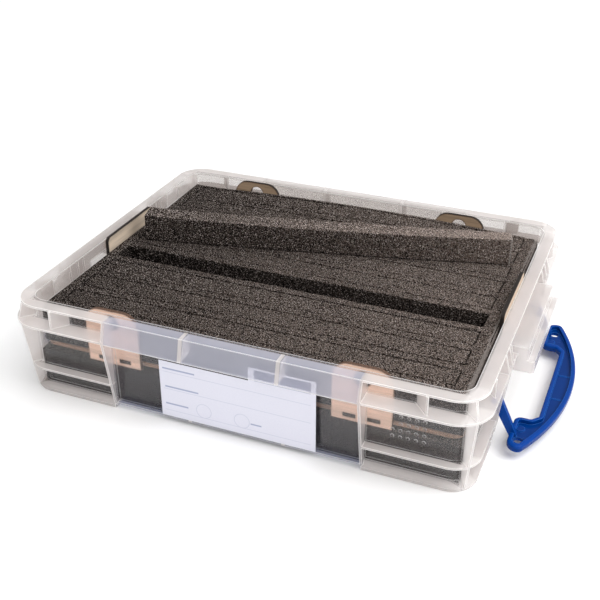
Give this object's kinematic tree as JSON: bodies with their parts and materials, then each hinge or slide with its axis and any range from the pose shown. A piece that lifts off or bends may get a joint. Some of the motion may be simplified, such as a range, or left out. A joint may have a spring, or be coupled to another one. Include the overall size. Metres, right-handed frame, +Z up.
{
  "type": "miniature carry case",
  "caption": "Shallow clear tub with swing handles, a lift-out ply-framed foam tray with pick-out strips, and a second foam layer below.",
  "frame": {"origin": "centre of the tub's footprint, on the surface it stands on", "axes": "+X along the long side towards the right-hand handle, +Y away from the labelled front, +Z up"},
  "size_m": [0.4586, 0.312, 0.0954],
  "materials": {
    "clear_plastic": "clear, glossy, slightly warm at the edges",
    "blue_plastic": "satin moulded",
    "plywood": "bare birch ply with dark laser-cut edges",
    "foam": "open-cell charcoal foam, matt",
    "card": "printed card, matt"
  },
  "bodies": {
    "tub": {"tub": "clear_plastic", "label_card": "card"},
    "handle_right": {"handle_right": "blue_plastic"},
    "handle_left": {"handle_left": "blue_plastic"},
    "lower_foam": {"lower_foam": "foam"},
    "tray": {"tray_base": "plywood", "tab_front_left": "plywood", "tab_front_right": "plywood", "tab_rear_left": "plywood", "tab_rear_right": "plywood", "upright_left": "plywood", "upright_right": "plywood", "tray_foam_floor": "foam", "tray_foam_frame": "foam", "foam_strip_5": "foam", "foam_strip_6": "foam", "foam_strip_7": "foam", "foam_strip_8": "foam"},
    "strip_1": {"foam_strip_1": "foam"},
    "strip_2": {"foam_strip_2": "foam"},
    "strip_3": {"foam_strip_3": "foam"},
    "strip_9": {"foam_strip_9": "foam"},
    "loose_strip": {"foam_strip_loose": "foam"}
  },
  "joints": [
    {"name": "handle_right_hinge", "type": "hinge", "parent": "tub", "child": "handle_right", "pos_m": [0.1815, 0, 0.041], "axis": [0, -1, 0], "range_deg": [0, 90]},
    {"name": "handle_left_hinge", "type": "hinge", "parent": "tub", "child": "handle_left", "pos_m": [-0.1815, 0, 0.041], "axis": [0, 1, 0], "range_deg": [0, 90]},
    {"name": "lower_foam_lift", "type": "slide", "parent": "tub", "child": "lower_foam", "axis": [0, 0, 1], "range_m": [0, 0.09]},
    {"name": "tray_lift", "type": "slide", "parent": "lower_foam", "child": "tray", "axis": [0, 0, 1], "range_m": [0, 0.06]},
    {"name": "loose_strip_lift", "type": "slide", "parent": "tray", "child": "loose_strip", "axis": [0, 0, 1], "range_m": [0, 0.03]},
    {"name": "strip_1_lift", "type": "slide", "parent": "tray", "child": "strip_1", "axis": [0, 0, 1], "range_m": [0, 0.03]},
    {"name": "strip_2_lift", "type": "slide", "parent": "tray", "child": "strip_2", "axis": [0, 0, 1], "range_m": [0, 0.03]},
    {"name": "strip_3_lift", "type": "slide", "parent": "tray", "child": "strip_3", "axis": [0, 0, 1], "range_m": [0, 0.03]},
    {"name": "strip_9_lift", "type": "slide", "parent": "tray", "child": "strip_9", "axis": [0, 0, 1], "range_m": [0, 0.03]}
  ]
}
